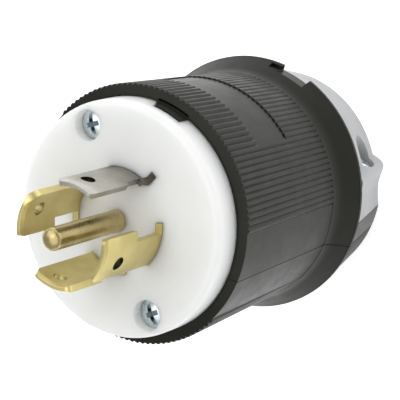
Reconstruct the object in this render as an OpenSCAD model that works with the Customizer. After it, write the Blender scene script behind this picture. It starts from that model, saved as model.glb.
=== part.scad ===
// Locking power plug for the end of a cord: a white face with a centre ground
// pin and four curved blades, a ribbed black housing that flares into a flange,
// and a screw-down cord clamp of two jaws behind the flange.
// +Z runs from the cord end to the blades, the origin is on the axis in the
// plane of the cord end, and +Y points to the keyway and the label pad.

/* [Lengths along the axis] */
// Height of the flat front face above the cord end
face_z = 68.1; // [67.6:0.1:68.5]
// How far the white face stands proud of the housing lip
face_proud = 6.2; // [5.6:0.1:6.6]
// Rear face of the flange
flange_z = 15.8; // [15.4:0.1:16.2]
// Thickness of the flange at its rim
flange_rim = 1.06; // [0.8:0.02:1.4]

/* [Diameters] */
// Diameter of the white face
face_d = 50; // [49.6:0.1:50.2]
// Diameter of the housing at its front corner, over the ribs
lip_d = 55.4; // [55:0.1:56]
// Diameter of the flange
flange_d = 58; // [57:0.1:60]
// Diameter of the housing where the ribs end, over the ribs
waist_d = 51.7; // [51:0.1:52.4]

/* [Grip] */
// Ribs grooves cut in each half of the housing
grooves = 48; // [40:1:52]
// Depth of a groove between two ribs
groove_depth = 0.44; // [0.3:0.02:0.5]
// Half angle of each smooth parting panel
panel_half = 22; // [20:1:26]

/* [Blades and pin] */
// Thickness of a blade
blade_t = 1.5; // [1.3:0.05:1.6]
// Outer radius of the line blades
line_r = 11.3; // [11.1:0.05:11.5]
// Height of the line blades above the face
line_len = 19.15; // [16:0.05:20]
// Height of the neutral blade above the face
neutral_len = 17.6; // [15:0.1:19]
// Radius of the ground pin
pin_r = 2.35; // [2.2:0.05:2.5]
// Height of the ground pin above the face
pin_len = 23; // [22:0.1:26]
// Radius of the hole near each blade's tip
hole_r = 1.45; // [1.2:0.05:1.6]

/* [Cord clamp] */
// Radius of the cord opening between the jaws
cord_r = 11; // [10:0.1:11.4]
// Height of the plane between the white jaw and the housing posts
split_up = 5.4; // [5:0.1:5.8]
// Height of the plane between the black jaw and the housing posts
split_low = 0; // [-0.5:0.1:0.5]
// Distance of each clamp screw from the middle
clamp_x = 19; // [18.8:0.1:19.2]
// Height of the clamp screws above the cord end
clamp_z = 6.5; // [6:0.1:7.5]

/* [Screws] */
// Radius of the circle that holds the two long screws
screw_pcr = 20.5; // [20.3:0.1:20.6]
// Radius of the heads of the long screws
head_r = 3.2; // [3:0.1:3.3]
// Radius of the heads of the clamp screws
clamp_head_r = 3; // [2.8:0.05:3.05]
// How deep the heads of the long screws lie below the face
head_sunk = 1.4; // [1:0.1:1.6]

/* [Hidden] */
$fn = 96;
eps = 0.01;
lip_z = face_z - face_proud;
face_r = face_d / 2;
seat_z = 56;
plate_t = 5.4;
plate_z = face_z - plate_t;
bore_r = 22.6;
block_r = 22.3;
block_z0 = 30;
floor_z = flange_z + 3;
waist_z = 22.2;
rib_end_z = lip_z - 0.75;
ridge_r = face_r + 0.15;
slope = atan((lip_d / 2 - waist_d / 2) / (rib_end_z - waist_z));
blade_back = 27;
term_z = 45.5;
term_open = 54;
shank_r = 1.75;
clear = 0.1;
neutral_a = 108;
line_x_a = 1.75;
line_y_a = 182;
line_z_a = 278;
ground_a = 54;
lines_a = [line_x_a, line_y_a, line_z_a];
screws_a = [135, 315];
nut_w = 7;
ear_y = 15.2;
// outside of the posts and the black jaw: a cone
jaw_r = 25.3;
jaw_slope = 0.215;
key_top = lip_z + 2.8;

// radius of a crown that drops d over a head of radius r
function crown(r, d) = (r * r + d * d) / (2 * d);

function pol(r, a) = [r * cos(a), r * sin(a)];
// points of the flare, from the body over a small fillet down to the rim
function flare() = let (
    c = [waist_d / 2, waist_z], e = [flange_d / 2 - 0.15, flange_z + flange_rim],
    p = c + 1.7 * [tan(slope), 1], q = c + 0.3 * (e - c))
    concat([for (i = [0 : 5]) let (t = i / 5) (1 - t) * (1 - t) * p + 2 * t * (1 - t) * c + t * t * q], [e]);

module wedge(a0, a1, z0, z1, r = 40) {
    m = (a0 + a1) / 2;
    translate([0, 0, z0]) linear_extrude(z1 - z0)
        polygon([[0, 0], pol(r, a0), pol(r * 1.3, a0 + (m - a0) / 2), pol(r * 1.3, m),
                 pol(r * 1.3, m + (a1 - m) / 2), pol(r, a1)]);
}

module arc_ring(ri, ro, a0, a1, z0, z1) {
    intersection() {
        difference() {
            translate([0, 0, z0]) cylinder(h = z1 - z0, r = ro);
            translate([0, 0, z0 - 1]) cylinder(h = z1 - z0 + 2, r = ri);
        }
        wedge(a0, a1, z0 - 0.5, z1 + 0.5);
    }
}

// takes a blade's tip corner off to radius c: side is -1 at its first edge, 1 at its last
module corner_cut(a, side, c, ro, zt) {
    rotate([0, 0, a]) difference() {
        translate([ro - 4, side > 0 ? -c : -1, zt - c]) cube([6, c + 1, c + 1]);
        translate([ro - 1, -side * c, zt - c]) rotate([0, 90, 0]) cylinder(h = 10, r = c, center = true);
    }
}

// a blade bent to an arc, standing len above the face, with rounded tip
// corners, bevelled tip edges, a locking notch beside the face and a round hole
module blade(ro, a0, a1, len, n0, n1, nz0, nz1, hole_a, hole_z, tail_a, tail_half, c0 = 1.2, c1 = 1.1) {
    ri = ro - blade_t;
    zt = face_z + len;
    b = 0.38;
    difference() {
        union() {
            intersection() {
                rotate_extrude()
                    polygon([[ri, plate_z - 4], [ro, plate_z - 4], [ro, zt - 2 * b], [ro - b, zt],
                             [ri + b, zt], [ri, zt - 2 * b]]);
                wedge(a0, a1, plate_z - 4.5, zt + 1);
            }
            arc_ring(ri, ro, tail_a - tail_half, tail_a + tail_half, face_z - blade_back, plate_z - 4 + 0.2);
        }
        corner_cut(a0, -1, c0, ro, zt);
        corner_cut(a1, 1, c1, ro, zt);
        wedge(n0, n1, face_z + nz0, face_z + nz1);
        rotate([0, 0, hole_a]) translate([ro - blade_t / 2, 0, face_z + hole_z]) rotate([0, 90, 0])
            cylinder(h = 6, r = hole_r, center = true);
        rotate([0, 0, tail_a]) translate([ro - blade_t / 2, 0, term_z]) rotate([0, 90, 0])
            cylinder(h = 6, r = shank_r + 0.02, center = true);
    }
}

// slot for a blade through the face plate and the top of the terminal block
module blade_slot(ro, a0, a1) {
    arc_ring(ro - blade_t - clear, ro + clear, a0 - 0.6, a1 + 0.6, plate_z - 4.1, face_z + 1);
}

module hook(g = 0) {
    p = [pol(12.2 + g, 76.3 + 5 * g), pol(14.0 + g, 75.5 + 3 * g), pol(13.9 + g, 69.9 - 3 * g),
         pol(11.4 - g, 70.0 - 3 * g), pol(10.4 - g, 75.8 - 3 * g), pol(10.2 - g, 82), pol(10.9 + g, 82)];
    translate([0, 0, plate_z - (g > 0 ? 1 : 0)]) linear_extrude(plate_t + 0.25 + (g > 0 ? 2 : 0)) polygon(p);
}

module combo_recess(top, hr) {
    // straight slot across the head with a tapered cross recess in its middle
    translate([0, 0, top]) cube([2 * hr + 1, 0.85, 1.7], center = true);
    for (q = [0, 90]) rotate([0, 0, q]) translate([0, 0.5, top]) rotate([90, 0, 0]) linear_extrude(1)
        polygon([[-1.9, 0.1], [1.9, 0.1], [0.7, -1.7], [-0.7, -1.7]]);
}

// screw along Z: z0 is its end, top is the top of its head, hr the head's
// radius, h its height and d how far its crown drops
module combo_screw(z0, top, hr, h, d) {
    difference() {
        union() {
            translate([0, 0, z0]) cylinder(h = 1, r1 = shank_r - 0.5, r2 = shank_r);
            translate([0, 0, z0 + 1]) cylinder(h = top - 2.2 - z0, r = shank_r);
            // pan head: a low rim under a spherical crown
            translate([0, 0, top - h]) cylinder(h = h - d, r = hr);
            intersection() {
                translate([0, 0, top - crown(hr, d)]) sphere(r = crown(hr, d));
                translate([0, 0, top - d - 0.05]) cylinder(h = 2, r = hr);
            }
        }
        combo_recess(top, hr);
    }
}

// key space seen along +Y: upright on the right, leaning on the left
module key_prism(g, top) {
    translate([0, 40, 0]) rotate([90, 0, 0]) linear_extrude(30)
        polygon([[3.48 - g, seat_z - 1], [3.48 - g, top], [-3.22 + g, top], [-4.77 + g, lip_z], [-4.77 + g, seat_z - 1]]);
}

module face_insert() {
    color([0.9, 0.905, 0.9]) difference() {
        union() {
            rotate_extrude() {
                difference() {
                    translate([0, seat_z]) square([face_r, face_z - seat_z]);
                    translate([face_r - 1.5, face_z - 1.5]) square([3, 3]);
                }
                intersection() {
                    translate([face_r - 1.5, face_z - 1.5]) circle(r = 1.5);
                    translate([face_r - 2, face_z - 2]) square([3, 3]);
                }
            }
        }
        translate([0, 0, seat_z - 1]) cylinder(h = plate_z - seat_z + 1, r = block_r + 0.15);
        // keyway, from the seat to half the height of the proud band
        intersection() {
            arc_ring(23.9, 30, 70, 110, seat_z - 1, lip_z + 3.2);
            key_prism(0, lip_z + 3.2);
        }
        blade_slot(line_r, 77, 123.5);
        blade_slot(line_r, -24, 27.5);
        blade_slot(line_r, 157, 211);
        blade_slot(line_r, 253, 305);
        hook(0.12);
        translate([0, 0, plate_z - 1]) cylinder(h = plate_t + 2, r = pin_r - 0.44);
        for (a = screws_a) rotate([0, 0, a]) translate([screw_pcr, 0, 0]) {
            translate([0, 0, plate_z - 1]) cylinder(h = plate_t + 2, r = shank_r + 0.15);
            translate([0, 0, face_z - head_sunk - 2.3]) cylinder(h = 6, r = head_r + 0.1);
        }
    }
}

// height at which the grooves start, and the radius of their bottoms there
groove_z = waist_z + 1.3;
groove_r0 = waist_d / 2 + (groove_z - waist_z) * tan(slope) - 0.16;
groove_r1 = lip_d / 2 - groove_depth;

module ribs_cut() {
    // the grooves get shallower towards the flange
    run = atan((groove_r1 - groove_r0) / (rib_end_z - groove_z));
    l = (rib_end_z - groove_z) / cos(run) + 3;
    for (half = [0, 180], i = [0 : grooves]) {
        a = half + panel_half + (180 - 2 * panel_half) * i / grooves;
        rotate([0, 0, a]) translate([groove_r0, 0, groove_z]) rotate([0, run, 0])
            linear_extrude(l) polygon([[0, 0], [0.9, 1.17], [0.9, -1.17]]);
    }
    // the smooth panels lie almost as deep as the grooves
    difference() {
        for (half = [0, 180])
            wedge(half - panel_half - 0.3, half + panel_half + 0.3, groove_z + 0.05, lip_z + 1);
        cylinder(h = groove_z, r = 20);
        translate([0, 0, groove_z]) cylinder(h = rib_end_z - groove_z, r1 = groove_r0 + 0.12, r2 = groove_r1 + 0.03);
        translate([0, 0, rib_end_z - 0.01]) cylinder(h = 3, r = groove_r1 + 0.03);
    }
}

module post(g, d) {
    intersection() {
        translate([9, split_low + g, 0]) cube([30, split_up - split_low - 2 * g, flange_z + 0.5]);
        cylinder(h = flange_z + 0.5, r1 = jaw_r - d, r2 = jaw_r - d + jaw_slope * (flange_z + 0.5));
    }
}

module housing() {
    pad = 0.05;
    color([0.2, 0.2, 0.19]) difference() {
        union() {
            difference() {
                rotate_extrude() polygon(concat(
                    [[0, flange_z], [flange_d / 2 - 0.2, flange_z], [flange_d / 2, flange_z + 0.2],
                     [flange_d / 2, flange_z + flange_rim - 0.15]],
                    [for (i = [6 : -1 : 0]) flare()[i]],
                    [[lip_d / 2, rib_end_z - 0.05], [lip_d / 2 - 0.2, rib_end_z + 0.08],
                     [ridge_r + 0.3, lip_z - 0.2], [ridge_r + 0.3, lip_z], [ridge_r, lip_z], [0, lip_z]]));
                // wiring space, and the seat for the face
                translate([0, 0, floor_z]) cylinder(h = 60, r = bore_r);
                translate([0, 0, seat_z]) cylinder(h = 20, r = ridge_r);
            }
            // key in the face's keyway
            intersection() {
                arc_ring(24, ridge_r + 0.15, 72, 108, seat_z, key_top);
                key_prism(0.12, key_top);
            }
            // bosses for the long screws
            for (a = screws_a) rotate([0, 0, a]) translate([screw_pcr, 0, flange_z + 1])
                cylinder(h = block_z0 - flange_z - 1, r = 3.6);
            // posts that the jaws close on, stepped in a little at their outer edges
            for (s = [0, 1]) mirror([s, 0, 0]) {
                post(0.25, 0);
                post(0, 0.5);
            }
        }
        ribs_cut();
        // label pad, a little below the bottoms of the grooves
        difference() {
            wedge(58, 122, 37.1, 49.4);
            translate([0, 0, groove_z]) cylinder(h = rib_end_z - groove_z, r1 = groove_r0 - pad, r2 = groove_r1 - pad);
        }
        // narrow pocket in the lip behind the key
        arc_ring(ridge_r + 0.25, ridge_r + 0.65, 82.5, 100.5, lip_z - 2, lip_z + 2);
        // parting line round both sides, from the lip over the body to the flange
        intersection() {
            cube([80, 0.16, 200], center = true);
            rotate_extrude() polygon(concat(
                [[ridge_r + 0.3, lip_z + 1], [ridge_r + 0.3, lip_z - 0.25], [groove_r1 - 0.22, rib_end_z - 0.2],
                 [groove_r0 - 0.22, groove_z]],
                [for (i = [1 : 6]) flare()[i] - [0.22, 0.2]],
                [[flange_d / 2 - 0.25, flange_z - 1], [flange_d / 2 + 2, flange_z - 1], [flange_d / 2 + 2, lip_z + 1]]));
        }
        // notch in the flange and the shallow pocket beside it
        arc_ring(27.65, 31, 81.4, 96.2, flange_z - 1, flange_z + 6);
        arc_ring(27.9, 28.65, 96.2 - 0.5, 101.4, flange_z + 0.35, flange_z + 6);
        // cord opening
        translate([0, 0, -1]) cylinder(h = 40, r = 12);
        // holes for the threaded sleeves
        for (a = screws_a) rotate([0, 0, a]) translate([screw_pcr, 0, 21.5]) cylinder(h = 12, r = 2.8);
        // holes for the clamp screws
        for (s = [-1, 1]) translate([s * clamp_x, 20, clamp_z]) rotate([90, 0, 0]) cylinder(h = 40, r = shank_r + 0.2);
    }
}

module terminal_block() {
    color([0.86, 0.86, 0.84]) difference() {
        translate([0, 0, block_z0]) cylinder(h = plate_z - block_z0, r = block_r);
        // grooves for the long screws
        for (a = screws_a) rotate([0, 0, a]) {
            translate([screw_pcr, 0, block_z0 - 1]) cylinder(h = 40, r = shank_r + 0.35);
            translate([screw_pcr, -shank_r - 0.2, block_z0 - 1]) cube([5, 2 * shank_r + 0.4, 40]);
        }
        blade_slot(line_r, 77, 123.5);
        blade_slot(line_r, -24, 27.5);
        blade_slot(line_r, 157, 211);
        blade_slot(line_r, 253, 305);
        for (a = [neutral_a, line_x_a, line_y_a, line_z_a]) {
            arc_ring(line_r - blade_t - clear, line_r + clear, a - 23, a + 23, term_open - 1, plate_z - 3);
            rotate([0, 0, a]) {
                translate([8.9, -4.6, 38]) cube([16, 9.2, term_open - 38]);
                translate([11.6, -3.3, block_z0 - 1]) cube([4.4, 6.6, 10]);
                translate([0, 0, term_z]) rotate([0, 90, 0]) cylinder(h = 10, r = shank_r + 0.25);
            }
        }
        // well for the ground pin and its strap
        translate([0, 0, block_z0 - 1]) cylinder(h = 51.8 - block_z0 + 1, r = 5.4);
        cylinder(h = 80, r = pin_r - 0.44);
        rotate([0, 0, ground_a]) {
            translate([0, -3.6, 38]) cube([24, 7.2, 51.8 - 38]);
            translate([11.6, -2.6, block_z0 - 1]) cube([4.4, 5.2, 10]);
        }
    }
}

module neutral_blade() {
    color([0.78, 0.77, 0.74]) union() {
        blade(line_r, 77, 123.5, neutral_len, 76, 81, 0.3, 5.2, 100.5, 13.25, neutral_a, 22, 1.0, 1.0);
        hook();
    }
}

module line_blade_x() {
    color([0.78, 0.7, 0.42])
        blade(line_r, -24, 27.5, line_len, 16.3, 30, 0.25, 8.5, -3.5, 13.5, line_x_a, 22);
}

module line_blade_y() {
    color([0.78, 0.7, 0.42])
        blade(line_r, 157, 211, line_len, 198.5, 214, 0.25, 8.1, 180.5, 14.1, line_y_a, 22, 3.2, 1.1);
}

module line_blade_z() {
    color([0.78, 0.7, 0.42])
        blade(line_r, 253, 305, line_len, 294, 309, 0.25, 8.4, 276, 15.2, line_z_a, 22, 1.8, 1.1);
}

module ground_pin() {
    z1 = face_z + pin_len - 1.5;
    color([0.72, 0.62, 0.38]) union() {
        translate([0, 0, 50]) cylinder(h = face_z - 49.5, r = pin_r - 0.5);
        translate([0, 0, face_z + 0.1]) cylinder(h = z1 - face_z - 0.1, r = pin_r);
        // domed end, from rings
        rotate_extrude() polygon(concat([[0, z1 - 1]], [[pin_r, z1 - 1]],
            [for (i = [0 : 8]) let (t = 90 * i / 8) [max(0, pin_r * cos(t)), z1 + 1.5 * sin(t)]]));
    }
}

module ground_strap() {
    color([0.74, 0.66, 0.4]) difference() {
        union() {
            translate([0, 0, 50]) cylinder(h = 1.6, r = 5);
            rotate([0, 0, ground_a]) {
                translate([0, -3.2, 50]) cube([11.4, 6.4, 1.6]);
                translate([9.9, -3.2, face_z - blade_back]) cube([1.5, 6.4, 51.6 - face_z + blade_back]);
            }
        }
        translate([0, 0, 45]) cylinder(h = 10, r = pin_r - 0.5);
        rotate([0, 0, ground_a]) translate([5, 0, term_z]) rotate([0, 90, 0]) cylinder(h = 10, r = shank_r + 0.02);
    }
}

// wire screw lying along a radius: its head bears on the wire plate
module wire_screw(a) {
    rotate([0, 0, a]) translate([0, 0, term_z]) rotate([0, 90, 0]) difference() {
        union() {
            translate([0, 0, 8.6]) cylinder(h = 7, r = shank_r);
            translate([0, 0, 15]) cylinder(h = 1.9, r = 3);
            translate([0, 0, 16.9]) cylinder(h = 0.4, r1 = 3, r2 = 2.6);
        }
        translate([0, 0, 17.3]) cube([1, 8, 1.8], center = true);
        translate([0, 0, 17.3]) cube([3.4, 1, 2.4], center = true);
    }
}

module wire_plate(a, w = 7.4) {
    rotate([0, 0, a]) difference() {
        translate([13.7, -w / 2, term_z - 4]) cube([1.3, w, 8]);
        translate([13, 0, term_z]) rotate([0, 90, 0]) cylinder(h = 4, r = shank_r + 0.1);
    }
}

module line_terminal_screws() { color([0.75, 0.66, 0.38]) for (a = lines_a) wire_screw(a); }
module neutral_terminal_screw() { color([0.8, 0.8, 0.78]) wire_screw(neutral_a); }
module ground_terminal_screw() { color([0.2, 0.5, 0.3]) wire_screw(ground_a); }
module line_wire_plates() { color([0.75, 0.66, 0.38]) for (a = lines_a) wire_plate(a); }
module neutral_wire_plate() { color([0.8, 0.8, 0.78]) wire_plate(neutral_a); }
module ground_wire_plate() { color([0.75, 0.66, 0.38]) wire_plate(ground_a, 6.2); }

module assembly_screws() {
    color([0.75, 0.78, 0.8]) for (a = screws_a)
        rotate([0, 0, a]) translate([screw_pcr, 0, 0]) rotate([0, 0, a < 180 ? -5 : 2])
            combo_screw(23, face_z - head_sunk, head_r, 2.3, 1.2);
}

module assembly_inserts() {
    color([0.72, 0.62, 0.36]) for (a = screws_a) rotate([0, 0, a]) translate([screw_pcr, 0, 0]) difference() {
        translate([0, 0, 21.5]) cylinder(h = block_z0 - 21.5, r = 2.8);
        translate([0, 0, 21]) cylinder(h = 12, r = shank_r);
    }
}

// outline of a jaw's outside on one side of its split plane: a cone cut flat
module jaw_shell(r0, r1) {
    difference() {
        cylinder(h = flange_z - 0.1, r1 = r0, r2 = r1);
        translate([0, 0, -1]) cylinder(h = 30, r = cord_r);
        // lead-in at both ends of the cord opening
        translate([0, 0, -0.01]) cylinder(h = 2, r1 = cord_r + 1.5, r2 = cord_r - 0.01);
        translate([0, 0, flange_z - 2.1]) cylinder(h = 2.02, r1 = cord_r - 0.01, r2 = cord_r + 1);
    }
}

module clamp_jaw_upper() {
    // the ears lean outwards towards the flange, so that their feet follow the posts
    lean = atan(0.2195);
    k = cos(lean);
    color([0.86, 0.865, 0.87]) difference() {
        intersection() {
            union() {
                jaw_shell(23.9, 23.9 + jaw_slope * (flange_z - 0.1));
                // ears round the screws, flared at the foot to meet the posts
                for (s = [0, 1]) mirror([s, 0, 0]) rotate([0, lean, 0]) linear_extrude(30)
                    polygon([[14 * k, split_up - 1], [25.32 * k, split_up - 1], [24.4 * k, 6],
                             [23.86 * k, 6.95], [23.06 * k, 8.64], [22.55 * k, 9.9], [22.38 * k, 10.9],
                             [22.25 * k, 12.2], [22.2 * k, 13.2], [22.1 * k, 14], [21.75 * k, 14.6],
                             [21 * k, 15], [19.7 * k, ear_y], [14 * k, ear_y]]);
            }
            translate([-40, split_up, 0]) cube([80, 40, flange_z - 0.1]);
        }
        for (s = [-1, 1]) translate([s * clamp_x, 0, clamp_z]) {
            rotate([-90, 0, 0]) cylinder(h = 40, r = shank_r + 0.2);
            // seat for the head
            translate([0, ear_y - 2.4, 0]) rotate([-90, 0, 0]) cylinder(h = 20, r = clamp_head_r + 0.15);
        }
    }
}

module clamp_jaw_lower() {
    color([0.2, 0.2, 0.19]) difference() {
        intersection() {
            union() {
                jaw_shell(jaw_r, jaw_r + jaw_slope * (flange_z - 0.1));
            }
            translate([-40, split_low - 40, -1]) cube([80, 40, 40]);
        }
        for (s = [-1, 1]) translate([s * clamp_x, 0, clamp_z]) {
            rotate([90, 0, 0]) cylinder(h = 40, r = shank_r + 0.2);
            // pocket that keeps the square nut from turning
            translate([-nut_w / 2 - 0.1, -40, -nut_w / 2 - 0.1]) cube([nut_w + 0.2, 28.6, nut_w + 0.2]);
        }
    }
}

module clamp_screws() {
    color([0.75, 0.78, 0.8]) for (s = [-1, 1])
        translate([s * clamp_x, 0, clamp_z]) rotate([-90, 0, 0]) rotate([0, 0, 25])
            combo_screw(-15.4, ear_y - 0.4, clamp_head_r, 2, 0.7);
}

module clamp_nuts() {
    color([0.72, 0.74, 0.76]) for (s = [-1, 1]) translate([s * clamp_x, -11.4, clamp_z]) difference() {
        translate([-nut_w / 2, -2.6, -nut_w / 2]) cube([nut_w, 2.6, nut_w]);
        rotate([90, 0, 0]) translate([0, 0, -1]) cylinder(h = 6, r = shank_r);
    }
}

face_insert();
housing();
terminal_block();
neutral_blade();
line_blade_x();
line_blade_y();
line_blade_z();
ground_pin();
ground_strap();
line_terminal_screws();
neutral_terminal_screw();
ground_terminal_screw();
line_wire_plates();
neutral_wire_plate();
ground_wire_plate();
assembly_screws();
assembly_inserts();
clamp_jaw_upper();
clamp_jaw_lower();
clamp_screws();
clamp_nuts();
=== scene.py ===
import math
import bmesh
import bpy
from mathutils import Matrix, Vector

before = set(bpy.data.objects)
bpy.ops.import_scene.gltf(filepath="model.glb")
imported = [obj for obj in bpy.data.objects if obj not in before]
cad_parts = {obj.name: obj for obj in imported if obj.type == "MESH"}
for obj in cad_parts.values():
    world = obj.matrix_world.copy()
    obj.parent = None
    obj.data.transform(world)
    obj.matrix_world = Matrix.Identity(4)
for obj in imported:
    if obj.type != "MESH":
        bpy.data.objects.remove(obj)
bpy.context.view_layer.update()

scene = bpy.context.scene
scene.view_settings.view_transform = "Standard"
scene.view_settings.look = "None"
MM = 0.001

# ---------------------------------------------------------------- materials


def node_mat(name):
    m = bpy.data.materials.new(name)
    m.use_nodes = True
    nt = m.node_tree
    nt.nodes.clear()
    out = nt.nodes.new("ShaderNodeOutputMaterial")
    bsdf = nt.nodes.new("ShaderNodeBsdfPrincipled")
    nt.links.new(bsdf.outputs[0], out.inputs[0])
    tc = nt.nodes.new("ShaderNodeTexCoord")
    return m, nt, bsdf, tc.outputs["Object"]


def noise(nt, vec, scale, stretch=(1, 1, 1), detail=3.0, rough=0.55):
    mp = nt.nodes.new("ShaderNodeMapping")
    mp.inputs["Scale"].default_value = stretch
    nt.links.new(vec, mp.inputs["Vector"])
    n = nt.nodes.new("ShaderNodeTexNoise")
    n.inputs["Scale"].default_value = scale
    n.inputs["Detail"].default_value = detail
    n.inputs["Roughness"].default_value = rough
    nt.links.new(mp.outputs[0], n.inputs["Vector"])
    return n.outputs["Fac"]


def ramp(nt, fac, stops):
    r = nt.nodes.new("ShaderNodeValToRGB")
    e = r.color_ramp.elements
    while len(e) < len(stops):
        e.new(0.5)
    for i, (p, c) in enumerate(stops):
        e[i].position = p
        e[i].color = (*c, 1.0) if len(c) == 3 else c
    nt.links.new(fac, r.inputs[0])
    return r.outputs[0]


def rng(nt, fac, a, b, lo, hi):
    m = nt.nodes.new("ShaderNodeMapRange")
    m.inputs["From Min"].default_value = a
    m.inputs["From Max"].default_value = b
    m.inputs["To Min"].default_value = lo
    m.inputs["To Max"].default_value = hi
    nt.links.new(fac, m.inputs["Value"])
    return m.outputs[0]


def bump(nt, bsdf, height, strength, distance, edge=0.0):
    b = nt.nodes.new("ShaderNodeBump")
    b.inputs["Strength"].default_value = strength
    b.inputs["Distance"].default_value = distance
    nt.links.new(height, b.inputs["Height"])
    nt.links.new(b.outputs[0], bsdf.inputs["Normal"])
    if edge:
        # softened edges
        e = nt.nodes.new("ShaderNodeBevel")
        e.samples = 6
        e.inputs["Radius"].default_value = edge
        nt.links.new(e.outputs[0], b.inputs["Normal"])
    return b


def plastic(name, dark, light, r0, r1, grain=1400, gstr=0.12, mottle=90, sss=0.0, spec=0.5, edge=0.0):
    m, nt, bsdf, obj = node_mat(name)
    col = ramp(nt, noise(nt, obj, mottle, detail=4), [(0.35, dark), (0.65, light)])
    nt.links.new(col, bsdf.inputs["Base Color"])
    nt.links.new(rng(nt, noise(nt, obj, mottle * 3.1), 0.3, 0.7, r0, r1), bsdf.inputs["Roughness"])
    bump(nt, bsdf, noise(nt, obj, grain, detail=2), gstr, 0.00006, edge)
    bsdf.inputs["Specular IOR Level"].default_value = spec
    if spec < 0.3:
        bsdf.inputs["Specular Tint"].default_value = (0.97, 1.0, 0.9, 1.0)
    if sss:
        bsdf.inputs["Subsurface Weight"].default_value = sss
        bsdf.inputs["Subsurface Radius"].default_value = (1.0, 1.0, 0.95)
        bsdf.inputs["Subsurface Scale"].default_value = 0.006
    return m


def add(nt, a, b):
    m = nt.nodes.new("ShaderNodeMath")
    m.operation = "ADD"
    nt.links.new(a, m.inputs[0])
    nt.links.new(b, m.inputs[1])
    return m.outputs[0]


def math_node(nt, op, a, b):
    m = nt.nodes.new("ShaderNodeMath")
    m.operation = op
    for i, v in enumerate((a, b)):
        if isinstance(v, float):
            m.inputs[i].default_value = v
        else:
            nt.links.new(v, m.inputs[i])
    return m.outputs[0]


def metal(name, dark, light, r0, r1, stretch=(1, 1, 0.06), streak=1500, sstr=0.15, blotch=160, edge=0.0002, root=None,
          hole=None, recess=None, deep=(0.03, 0.026, 0.015)):
    m, nt, bsdf, obj = node_mat(name)
    fac = noise(nt, obj, blotch, detail=5)
    if hole:
        # painted shade inside the round hole: darker by distance from the hole's axis
        angle, height, hole_shade = hole
        mp = nt.nodes.new("ShaderNodeMapping")
        mp.vector_type = "TEXTURE"
        mp.inputs["Location"].default_value = (0, 0, height)
        mp.inputs["Rotation"].default_value = (0, 0, math.radians(angle))
        nt.links.new(obj, mp.inputs["Vector"])
        flat = nt.nodes.new("ShaderNodeVectorMath")
        flat.operation = "MULTIPLY"
        flat.inputs[1].default_value = (0, 1, 1)
        nt.links.new(mp.outputs[0], flat.inputs[0])
        far = nt.nodes.new("ShaderNodeVectorMath")
        far.operation = "LENGTH"
        nt.links.new(flat.outputs[0], far.inputs[0])
        fac = add(nt, fac, rng(nt, far.outputs["Value"], 0.00147, 0.00158, -hole_shade, 0.0))
    if recess:
        # painted shade in the drive recess: darker by how far a point lies under the head's crown
        angle, pcr, top, crown = recess
        mp = nt.nodes.new("ShaderNodeMapping")
        mp.vector_type = "TEXTURE"
        mp.inputs["Rotation"].default_value = (0, 0, math.radians(angle))
        nt.links.new(obj, mp.inputs["Vector"])
        sep = nt.nodes.new("ShaderNodeSeparateXYZ")
        nt.links.new(mp.outputs[0], sep.inputs[0])
        off = math_node(nt, "SUBTRACT", math_node(nt, "ABSOLUTE", sep.outputs["X"], 0.0), pcr)
        sq = add(nt, math_node(nt, "MULTIPLY", off, off), math_node(nt, "MULTIPLY", sep.outputs["Y"], sep.outputs["Y"]))
        under = add(nt, math_node(nt, "MULTIPLY", sq, 0.5 / crown), math_node(nt, "SUBTRACT", sep.outputs["Z"], top))
        fac = add(nt, fac, rng(nt, under, -0.0005, -0.00006, -0.5, 0.0))
    if root:
        # painted shade: darker towards the face of the plug, standing in for the dark reflection near the blade's root
        z0, z1, low = root
        sep = nt.nodes.new("ShaderNodeSeparateXYZ")
        nt.links.new(obj, sep.inputs[0])
        fac = add(nt, fac, rng(nt, sep.outputs["Z"], z0, z1, low, 0.0))
    # the deep stop takes the painted shade of holes, recesses and the blade root, besides the darkest random tone
    col = ramp(nt, fac, [(0.0, deep), (0.3, dark), (0.68, light)])
    nt.links.new(col, bsdf.inputs["Base Color"])
    nt.links.new(rng(nt, noise(nt, obj, blotch * 2.3, detail=4), 0.3, 0.7, r0, r1), bsdf.inputs["Roughness"])
    bump(nt, bsdf, noise(nt, obj, streak, stretch, detail=3), sstr, 0.00005, edge)
    bsdf.inputs["Metallic"].default_value = 1.0
    return m


M_FACE = plastic("face_nylon", (0.79, 0.795, 0.775), (0.82, 0.825, 0.805), 0.36, 0.46, sss=0.9, edge=0.00025)
# jaw_nylon is a darker copy of the white nylon: painted shade for the upper clamp jaw
M_JAW_SHADED = plastic("jaw_nylon", (0.365, 0.37, 0.375), (0.41, 0.415, 0.42), 0.38, 0.5, sss=0.3, edge=0.0002)
M_BLACK = plastic("black_nylon", (0.0120, 0.0120, 0.0092), (0.0160, 0.0160, 0.0127), 0.3, 0.4, grain=1800, gstr=0.2, spec=0.19, edge=0.00012)
M_BLACK_JAW = plastic("black_jaw_nylon", (0.0110, 0.0110, 0.0088), (0.0150, 0.0150, 0.0122), 0.4, 0.5, grain=1800, gstr=0.2, spec=0.1, edge=0.00012)
M_BRASS = metal("blade_brass", (0.72, 0.60, 0.26), (0.84, 0.73, 0.35), 0.34, 0.46)
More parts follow.
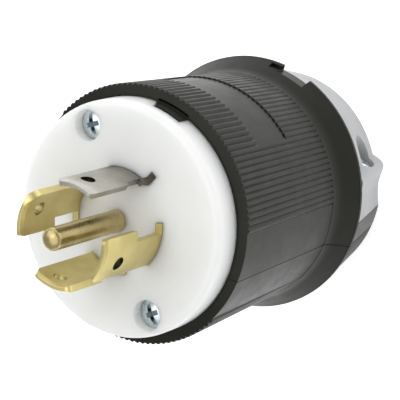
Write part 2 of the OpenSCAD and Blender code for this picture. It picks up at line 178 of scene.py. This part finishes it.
# blade_brass_x_shaded and blade_brass_y_shaded are darker copies of the blade brass: painted shade for those two
# blades; hole= paints shade inside each hole
M_BRASS_X_SHADED = metal("blade_brass_x_shaded", (0.56, 0.47, 0.19), (0.68, 0.58, 0.265), 0.34, 0.46, hole=(-3.5, 0.0816, 0.6))
M_BRASS_Y_SHADED = metal("blade_brass_y_shaded", (0.68, 0.565, 0.24), (0.80, 0.69, 0.33), 0.34, 0.46, hole=(180.5, 0.0822, 0.3))
M_BRASS_Z = metal("blade_brass_z", (0.72, 0.60, 0.26), (0.84, 0.73, 0.35), 0.34, 0.46, hole=(276, 0.0833, 0.25))
M_PIN = metal("pin_brass", (0.40, 0.315, 0.135), (0.66, 0.54, 0.28), 0.24, 0.34, streak=2600, sstr=0.1, edge=0.0001)
# root= paints shade towards the face; hole= paints shade inside the hole
M_NICKEL = metal("blade_nickel", (0.33, 0.31, 0.27), (0.61, 0.59, 0.54), 0.32, 0.46, blotch=90, root=(0.0675, 0.079, -0.27),
                 hole=(100.5, 0.08135, 0.6))
M_ZINC = metal("screw_zinc", (0.58, 0.65, 0.68), (0.74, 0.80, 0.83), 0.24, 0.36, stretch=(1, 1, 1), streak=900, edge=0.0001)
# recess= paints shade into the cross recess, in the deep colour
M_ZINC_FACE = metal("face_screw_zinc", (0.58, 0.65, 0.68), (0.74, 0.80, 0.83), 0.24, 0.36, stretch=(1, 1, 1), streak=900,
                    edge=0.0001, recess=(135, 0.0205, 0.0667, 0.00487), deep=(0.22, 0.27, 0.30))
M_GREEN = metal("green_screw", (0.05, 0.22, 0.1), (0.08, 0.3, 0.15), 0.25, 0.4)

LOOKS = {
    "face_insert": M_FACE, "housing": M_BLACK, "terminal_block": M_FACE, "neutral_blade": M_NICKEL,
    "line_blade_x": M_BRASS_X_SHADED, "line_blade_y": M_BRASS_Y_SHADED, "line_blade_z": M_BRASS_Z, "ground_pin": M_PIN,
    "ground_strap": M_BRASS, "line_terminal_screws": M_BRASS, "neutral_terminal_screw": M_NICKEL,
    "ground_terminal_screw": M_GREEN, "line_wire_plates": M_BRASS, "neutral_wire_plate": M_NICKEL,
    "ground_wire_plate": M_BRASS, "assembly_screws": M_ZINC_FACE, "assembly_inserts": M_BRASS,
    "clamp_jaw_upper": M_JAW_SHADED, "clamp_jaw_lower": M_BLACK_JAW, "clamp_screws": M_ZINC, "clamp_nuts": M_ZINC,
}
for n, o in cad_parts.items():
    for s in o.material_slots:
        s.material = LOOKS[n]
    if not o.material_slots:
        o.data.materials.append(LOOKS[n])

# ---------------------------------------------------------------- camera
# looks at the plug from the blade end; the plug stands on its cord end
R = ((0.762805, 0.342553, -0.548439), (0.498239, -0.851992, 0.160834), (-0.412172, -0.395939, -0.820577))
EYE = Vector((163.36, 155.877, 361.555)) * MM
right, up, back = Vector(R[0]), -Vector(R[1]), -Vector(R[2])
cam = bpy.data.objects.new("camera", bpy.data.cameras.new("camera"))
scene.collection.objects.link(cam)
cam.data.lens = 162.0
cam.data.sensor_width = 36.0
cam.data.clip_start = 0.02
cam.data.clip_end = 20.0
cam.matrix_world = Matrix((
    (right.x, up.x, back.x, EYE.x), (right.y, up.y, back.y, EYE.y), (right.z, up.z, back.z, EYE.z), (0, 0, 0, 1)))
scene.camera = cam

# ---------------------------------------------------------------- floor and light
me = bpy.data.meshes.new("floor")
bm = bmesh.new()
bmesh.ops.create_grid(bm, x_segments=2, y_segments=2, size=3.0)
bm.to_mesh(me)
bm.free()
floor = bpy.data.objects.new("floor", me)
scene.collection.objects.link(floor)
floor.location = (0, 0, -0.0002)
mf, nt, bs, oc = node_mat("floor_paper")
nt.links.new(ramp(nt, noise(nt, oc, 3.0), [(0.3, (0.90, 0.90, 0.90)), (0.7, (0.93, 0.93, 0.93))]), bs.inputs["Base Color"])
bs.inputs["Roughness"].default_value = 0.9
bs.inputs["Specular IOR Level"].default_value = 0.1
bs.inputs["Emission Color"].default_value = (1, 1, 1, 1)
bs.inputs["Emission Strength"].default_value = 0.6
me.materials.append(mf)

world = bpy.data.worlds.new("studio")
world.use_nodes = True
world.node_tree.nodes["Background"].inputs[0].default_value = (0.96, 0.98, 1.0, 1)
world.node_tree.nodes["Background"].inputs[1].default_value = 0.46
scene.world = world


def soft_light(name, r, u, b, size, power, colour=(1, 1, 1)):
    """Area light at r right, u up and b towards the camera, in metres from the plug's middle."""
    mid = Vector((0, 0, 0.045))
    pos = mid + right * r + up * u + back * b
    ld = bpy.data.lights.new(name, "AREA")
    ld.shape = "DISK"
    ld.size = size
    ld.energy = power
    ld.color = colour
    lo = bpy.data.objects.new(name, ld)
    scene.collection.objects.link(lo)
    lo.location = pos
    lo.rotation_mode = "QUATERNION"
    lo.rotation_quaternion = (mid - pos).to_track_quat("-Z", "Y")
    return lo


soft_light("key", -0.75, 0.65, 0.75, 1.7, 8.2)
soft_light("fill", 1.1, -0.35, -0.05, 0.9, 0.25, (0.94, 0.95, 1.0))
soft_light("front", -0.45, -0.35, 1.2, 2.0, 9.4)
soft_light("low", -0.15, -1.2, -0.1, 0.8, 0.7, (0.9, 0.93, 1.0))
